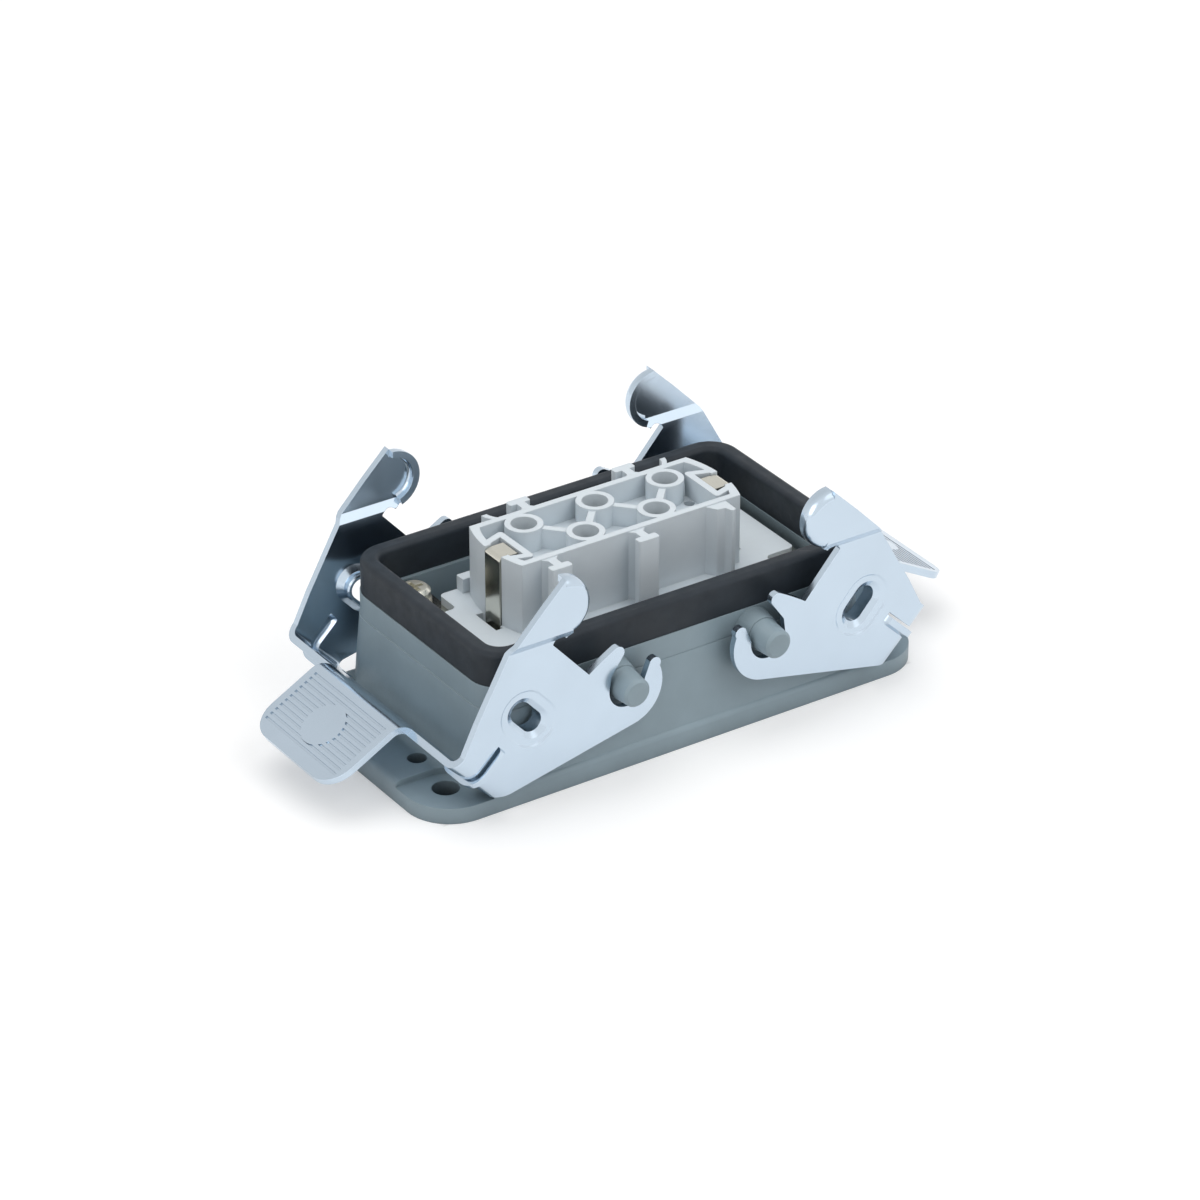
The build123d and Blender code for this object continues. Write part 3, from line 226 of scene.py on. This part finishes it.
def edge_mask(tree, edge_normal):
    """One along convex and hollow edges, zero on the open surface."""
    true_normal = tree.nodes.new("ShaderNodeNewGeometry").outputs["Normal"]
    return span(tree, dot(tree, edge_normal, true_normal), EDGE_RANGE, (0, 1))


def bump(tree, normal, height, strength, depth):
    """The normal with a relief of that strength and depth added to it."""
    node = tree.nodes.new("ShaderNodeBump")
    node.inputs["Strength"].default_value = strength
    node.inputs["Distance"].default_value = depth
    tree.links.new(height, node.inputs["Height"])
    tree.links.new(normal, node.inputs["Normal"])
    return node.outputs["Normal"]


def painted_shade(tree, colour, reach, darkest):
    """Painted shade: the colour darker in hollows and creases, down to that share of itself."""
    hollow = tree.nodes.new("ShaderNodeAmbientOcclusion")
    hollow.inputs["Distance"].default_value = reach
    hollow.samples = HOLLOW_SAMPLES
    node = tree.nodes.new("ShaderNodeVectorMath")
    node.operation = "SCALE"
    tree.links.new(colour, node.inputs[0])
    level = span(tree, hollow.outputs["AO"], HOLLOW_RANGE, (darkest, 1))
    tree.links.new(level, node.inputs["Scale"])
    return node.outputs["Vector"]


def new_material(name, colour, roughness, metallic=0.0):
    """A material, its nodes, its Principled shader with plain values, and object coordinates."""
    material = bpy.data.materials.new(name)
    material.use_nodes = True
    tree = material.node_tree
    shader = tree.nodes["Principled BSDF"]
    for socket, value in (("Base Color", colour), ("Roughness", roughness), ("Metallic", metallic)):
        feed(tree, shader.inputs[socket], value)
    place = tree.nodes.new("ShaderNodeTexCoord").outputs["Object"]
    return material, tree, shader, place


def surface(tree, shader, colour, roughness, normal):
    """Link what a material works out to its shader."""
    for socket, value in (("Base Color", colour), ("Roughness", roughness), ("Normal", normal)):
        tree.links.new(value, shader.inputs[socket])


def cast_paint():
    """Blue-grey coat over a die casting: orange peel, a slow drift, paler edges in patches as a painted
    highlight, and painted shade in hollows and creases.
    """
    material, tree, shader, place = new_material("cast_paint", CAST_GREY, 0.4)
    edges = rounded(tree, PAINT_EDGE_R)
    # Painted highlight: a paler colour on the edges, broken into patches by noise
    highlight_patches = span(tree, noise(tree, place, per_metre=260), HIGHLIGHT_PATCH_RANGE, PAINT_HIGHLIGHT_SHARE)
    edge_highlight = maths(tree, "MULTIPLY", edge_mask(tree, edges), highlight_patches)
    coat = drifting(tree, CAST_GREY, noise(tree, place, per_metre=150), share=0.05)
    # Painted shade: the coat is darker in hollows and creases, down to under a third
    colour = painted_shade(tree, mix(tree, edge_highlight, coat, CAST_EDGE), reach=5 * MM, darkest=0.3)
    roughness = span(tree, noise(tree, place, per_metre=700), NOISE_RANGE, PAINT_ROUGHNESS)
    peel = noise(tree, place, per_metre=1500, detail=2)
    peeled = bump(tree, edges, peel, strength=0.22, depth=0.05 * MM)
    waves = noise(tree, place, per_metre=320, detail=2)
    waved = bump(tree, peeled, waves, strength=0.12, depth=0.2 * MM)
    surface(tree, shader, colour, roughness, waved)
    return material


def seal_rubber():
    """Moulded black rubber, matt with dusty patches, small pits and greyer edges as a painted
    highlight.
    """
    material, tree, shader, place = new_material("seal_rubber", RUBBER, 0.55)
    shader.inputs["Specular IOR Level"].default_value = 0.35
    edges = rounded(tree, RUBBER_EDGE_R)
    # Painted highlight: a greyer colour on the edges, broken into patches by noise
    highlight_patches = span(tree, noise(tree, place, per_metre=300), NOISE_RANGE, RUBBER_HIGHLIGHT_SHARE)
    edge_highlight = maths(tree, "MULTIPLY", edge_mask(tree, edges), highlight_patches)
    dusty = drifting(tree, RUBBER, noise(tree, place, per_metre=220), share=0.16)
    colour = mix(tree, edge_highlight, dusty, RUBBER_EDGE)
    roughness = span(tree, noise(tree, place, per_metre=420), NOISE_RANGE, RUBBER_ROUGHNESS)
    grain = noise(tree, place, per_metre=1100, detail=3)
    grained = bump(tree, edges, grain, strength=0.18, depth=0.05 * MM)
    pits = span(tree, noise(tree, place, per_metre=420, detail=1), PIT_RANGE, (0, 1))
    pitted = bump(tree, grained, pits, strength=0.3, depth=0.1 * MM)
    surface(tree, shader, colour, roughness, pitted)
    return material


def moulded(name, colour):
    """Fine textured thermoplastic with a soft sheen, paler edges as a painted highlight, and painted
    shade in hollows.
    """
    material, tree, shader, place = new_material(name, colour, 0.42)
    shader.inputs["Subsurface Weight"].default_value = PLASTIC_GLOW
    shader.inputs["Subsurface Radius"].default_value = PLASTIC_GLOW_REACH
    edges = rounded(tree, PLASTIC_EDGE_R)
    # Painted highlight: a paler colour along every edge
    edge_highlight = maths(tree, "MULTIPLY", edge_mask(tree, edges), PLASTIC_HIGHLIGHT_SHARE)
    plain = drifting(tree, colour, noise(tree, place, per_metre=200), share=0.025)
    # Painted shade: the plastic is a little darker in hollows
    colour = painted_shade(tree, mix(tree, edge_highlight, plain, PLASTIC_EDGE), reach=3 * MM, darkest=0.82)
    roughness = span(tree, noise(tree, place, per_metre=900), NOISE_RANGE, PLASTIC_ROUGHNESS)
    grain = noise(tree, place, per_metre=2000, detail=2)
    grained = bump(tree, edges, grain, strength=0.1, depth=0.03 * MM)
    surface(tree, shader, colour, roughness, grained)
    return material


def plated(name, colour, roughness, drift, relief, edge_mm=0.16, reach_mm=2, darkest=0.6, metallic=1.0):
    """Plated metal: clouded roughness, faint rolling lines, soft dents and rolled-over edges.

    Its colour drifts by the share drift, relief is the strength of its lines and dents, and painted
    shade darkens hollows within reach_mm, down to the share darkest."""
    material, tree, shader, place = new_material(name, colour, roughness, metallic)
    edges = rounded(tree, edge_mm * MM)
    tinted = drifting(tree, colour, noise(tree, place, per_metre=130), share=drift)
    # Painted shade: the metal is darker in its hollows and grooves
    colour = painted_shade(tree, tinted, reach=reach_mm * MM, darkest=darkest)
    clouds = noise(tree, place, per_metre=240, rough=0.6)
    clouded = span(tree, clouds, NOISE_RANGE, [roughness * share for share in PLATED_SPREAD])
    lines = noise(tree, stretched(tree, place, ROLLING), per_metre=900, detail=3, rough=0.6)
    lined = bump(tree, edges, lines, strength=relief, depth=0.01 * MM)
    dents = noise(tree, place, per_metre=70, detail=1)
    dented = bump(tree, lined, dents, strength=relief, depth=0.06 * MM)
    surface(tree, shader, colour, clouded, dented)
    return material


def set_material(piece, material):
    """The material in place of what the piece came with."""
    piece.data.materials.clear()
    piece.data.materials.append(material)


def ring(curve, points):
    """A closed line through points in millimetres."""
    spline = curve.splines.new("POLY")
    spline.points.add(len(points) - 1)
    for point, (x, y) in zip(spline.points, points):
        point.co = (x * MM, y * MM, 0, 1)
    spline.use_cyclic_u = True


def circle(centre, radius):
    """Points round a circle in millimetres."""
    turns = [2 * pi * i / CIRCLE_SIDES for i in range(CIRCLE_SIDES)]
    return [(centre[0] + radius * cos(t), centre[1] + radius * sin(t)) for t in turns]


def pocket_floor():
    """The floor of the mating block's pockets, cut round the tubes and the pilot holes."""
    curve = bpy.data.curves.new("pocket_floor_outline", "CURVE")
    curve.dimensions = "2D"
    curve.fill_mode = "BOTH"
    curve.extrude = POCKET_FLOOR_THICK / 2
    ring(curve, POCKET_OUTLINE)
    for centre in TUBE_CENTRES:
        ring(curve, circle(centre, TUBE_R))
    for centre in PILOT_CENTRES:
        ring(curve, circle(centre, PILOT_R))
    outline = bpy.data.objects.new("pocket_floor_outline", curve)
    mesh = bpy.data.meshes.new_from_object(outline)
    bpy.data.objects.remove(outline)
    mesh.transform(Matrix.Translation((0, 0, POCKET_FLOOR_Z - POCKET_FLOOR_THICK / 2)))
    piece = bpy.data.objects.new("pocket_floor", mesh)
    bpy.context.scene.collection.objects.link(piece)
    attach(piece, "base")
    return piece


def dress(nodes):
    """Every carried-over CAD node gets its own finish; those not named here are silver plated."""
    rubber = seal_rubber()
    silver = plated("silver_plate", SILVER, roughness=0.28, drift=0.05, relief=0.1)
    nickel = plated("nickel_spring", NICKEL, roughness=0.24, drift=0.06, relief=0.12)
    washer = plated("washer_zinc", WASHER, roughness=0.35, drift=0.06, relief=0.15)
    # The blades' painted shade in their hollows goes down to a quarter of their colour
    blade = plated(
        "blade_nickel", BLADE, roughness=0.17, drift=0.06, relief=0.1,
        edge_mm=0.12, reach_mm=3, darkest=0.25,
    )
    # The levers' painted shade darkens their pressed grooves
    zinc = plated(
        "lever_zinc", ZINC, roughness=0.19, drift=0.02, relief=0.05,
        edge_mm=0.07, reach_mm=0.5, darkest=0.62,
    )
    screw = plated(
        "screw_zinc", SCREW, roughness=0.3, drift=0.05, relief=0.1,
        edge_mm=0.12, reach_mm=0.8, metallic=0.75,
    )
    finishes = {
        "housing": cast_paint(),
        "rim_seal": rubber,
        "base_seal": rubber,
        "insert_body": moulded("insert_plastic", INSERT_GREY),
        "insert_base": moulded("insert_base_plastic", BASE_GREY),
        "terminal_screws": screw,
        "wire_clamps": nickel,
        "earth_contact_left": blade,
        "earth_contact_right": blade,
        "earth_screws": screw,
        "earth_clamps": nickel,
        "fixing_screws": screw,
        "lock_washers": washer,
        "lever_left": zinc,
        "lever_right": zinc,
    }
    for name, node in nodes.items():
        set_material(node, finishes.get(name, silver))
    set_material(pocket_floor(), finishes["insert_body"])


def camera():
    """The photograph's camera, solved from the housing's edges."""
    flat = cos(CAM_ELEVATION)
    back = Vector((-sin(CAM_AZIMUTH) * flat, -cos(CAM_AZIMUTH) * flat, sin(CAM_ELEVATION)))
    level_right = Vector((cos(CAM_AZIMUTH), -sin(CAM_AZIMUTH), 0))
    right = Matrix.Rotation(CAM_ROLL, 3, back) @ level_right
    up = back.cross(right)
    data = bpy.data.cameras.new("photo_camera")
    data.sensor_fit = "HORIZONTAL"
    data.sensor_width = SENSOR_MM
    data.lens = FOCAL_PX / PHOTO_SIDE_PX * SENSOR_MM
    data.clip_start, data.clip_end = CAM_CLIP
    view = bpy.data.objects.new("photo_camera", data)
    place = back * CAM_DISTANCE - right * CAM_SHIFT_RIGHT - up * CAM_SHIFT_UP
    turned = Matrix((right, up, back)).transposed().to_4x4()
    view.matrix_world = Matrix.Translation(place) @ turned
    bpy.context.scene.collection.objects.link(view)
    bpy.context.scene.camera = view


def seen_by_view(tree):
    """One for the rays of the camera, of mirrors and of glass, zero for those that light things."""
    rays = tree.nodes.new("ShaderNodeLightPath").outputs
    seen = maths(tree, "MAXIMUM", rays["Is Camera Ray"], rays["Is Glossy Ray"])
    return maths(tree, "MAXIMUM", seen, rays["Is Transmission Ray"])


def beside_object(tree, place):
    """Zero on the painted shadow patch of floor that the flange hides, one outside it."""
    parts = tree.nodes.new("ShaderNodeSeparateXYZ")
    scale = (1 / SHADOW_PATCH_HALF[0], 1 / SHADOW_PATCH_HALF[1], 0)
    tree.links.new(stretched(tree, place, scale), parts.inputs["Vector"])
    sides = [maths(tree, "ABSOLUTE", parts.outputs[axis]) for axis in ("X", "Y")]
    return span(tree, maths(tree, "MAXIMUM", *sides), SHADOW_PATCH_BORDER, (0, 1))


def floor():
    """A pale sweep that shows white, with the object's shadow kept and a painted shadow on the patch
    that the flange hides.
    """
    mesh = bpy.data.meshes.new("floor")
    half = FLOOR_HALF
    corners = [(-half, -half, 0), (half, -half, 0), (half, half, 0), (-half, half, 0)]
    mesh.from_pydata(corners, [], [(0, 1, 2, 3)])
    piece = bpy.data.objects.new("floor", mesh)
    bpy.context.scene.collection.objects.link(piece)
    material, tree, shader, place = new_material("floor", FLOOR_GREY, FLOOR_ROUGHNESS)
    shader.inputs["Specular IOR Level"].default_value = 0.0
    shader.inputs["Emission Color"].default_value = WHITE
    away = tree.nodes.new("ShaderNodeVectorMath")
    away.operation = "LENGTH"
    tree.links.new(place, away.inputs[0])
    glow = span(tree, away.outputs["Value"], FLOOR_GLOW_REACH, FLOOR_GLOW)
    shown = maths(tree, "MULTIPLY", glow, seen_by_view(tree))
    # Painted shadow: under the flange the floor has no glow and a near-black colour
    outside = beside_object(tree, place)
    tree.links.new(maths(tree, "MULTIPLY", shown, outside), shader.inputs["Emission Strength"])
    tree.links.new(mix(tree, outside, SHADOW_PATCH_DARK, FLOOR_GREY), shader.inputs["Base Color"])
    mesh.materials.append(material)


def sky_level(tree):
    """The studio as a mirror sees it: white in front, greyer high up behind the object, and
    a little brighter where its two windows are."""
    way = tree.nodes.new("ShaderNodeTexCoord").outputs["Generated"]
    level = span(tree, dot(tree, way, SKY_FAR_WAY), SKY_FAR_BORDER, SKY_NEAR_TO_FAR)
    for window_way in WINDOW_WAYS:
        bright = span(tree, dot(tree, way, window_way), WINDOW_BORDER, (0, WINDOW_GAIN))
        level = maths(tree, "ADD", level, bright)
    return level


def world():
    """A pale studio: even grey light, white behind the object, and a graded sky in mirrors."""
    studio_world = bpy.data.worlds.new("studio")
    studio_world.use_nodes = True
    tree = studio_world.node_tree
    background = tree.nodes["Background"]
    background.inputs["Color"].default_value = WHITE
    rays = tree.nodes.new("ShaderNodeLightPath").outputs
    level = mix(tree, rays["Is Glossy Ray"], WORLD_DIFFUSE, sky_level(tree), kind="VALUE")
    level = mix(tree, rays["Is Camera Ray"], level, 1.0, kind="VALUE")
    tree.links.new(level, background.inputs["Strength"])
    bpy.context.scene.world = studio_world


def lamp(name, place, aim, size, watts, mirrored=True):
    """A rectangular lamp at a place in metres, which mirrors may see or not."""
    data = bpy.data.lights.new(name, "AREA")
    data.shape = "RECTANGLE"
    data.size, data.size_y = size
    data.energy = watts
    light = bpy.data.objects.new(name, data)
    light.visible_glossy = mirrored
    light.location = place
    light.rotation_euler = (Vector(aim) - Vector(place)).to_track_quat("-Z", "Y").to_euler()
    bpy.context.scene.collection.objects.link(light)


def studio():
    """The floor, the world, the camera and three soft lamps."""
    floor()
    world()
    camera()
    foot = (0, 0, 0)
    rim = (0, 0, 0.02)
    lamp("key", place=(0.5, -0.85, 1.0), aim=foot, size=(1.3, 1.0), watts=5.8, mirrored=False)
    lamp("fill", place=(-0.95, -0.4, 0.6), aim=rim, size=(0.8, 0.7), watts=1.6)
    lamp("top", place=(-0.1, 0.25, 1.2), aim=foot, size=(1.4, 1.0), watts=7.6, mirrored=False)
    bpy.context.scene.view_settings.view_transform = "Standard"


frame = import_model()
dress(frame["nodes"])
studio()
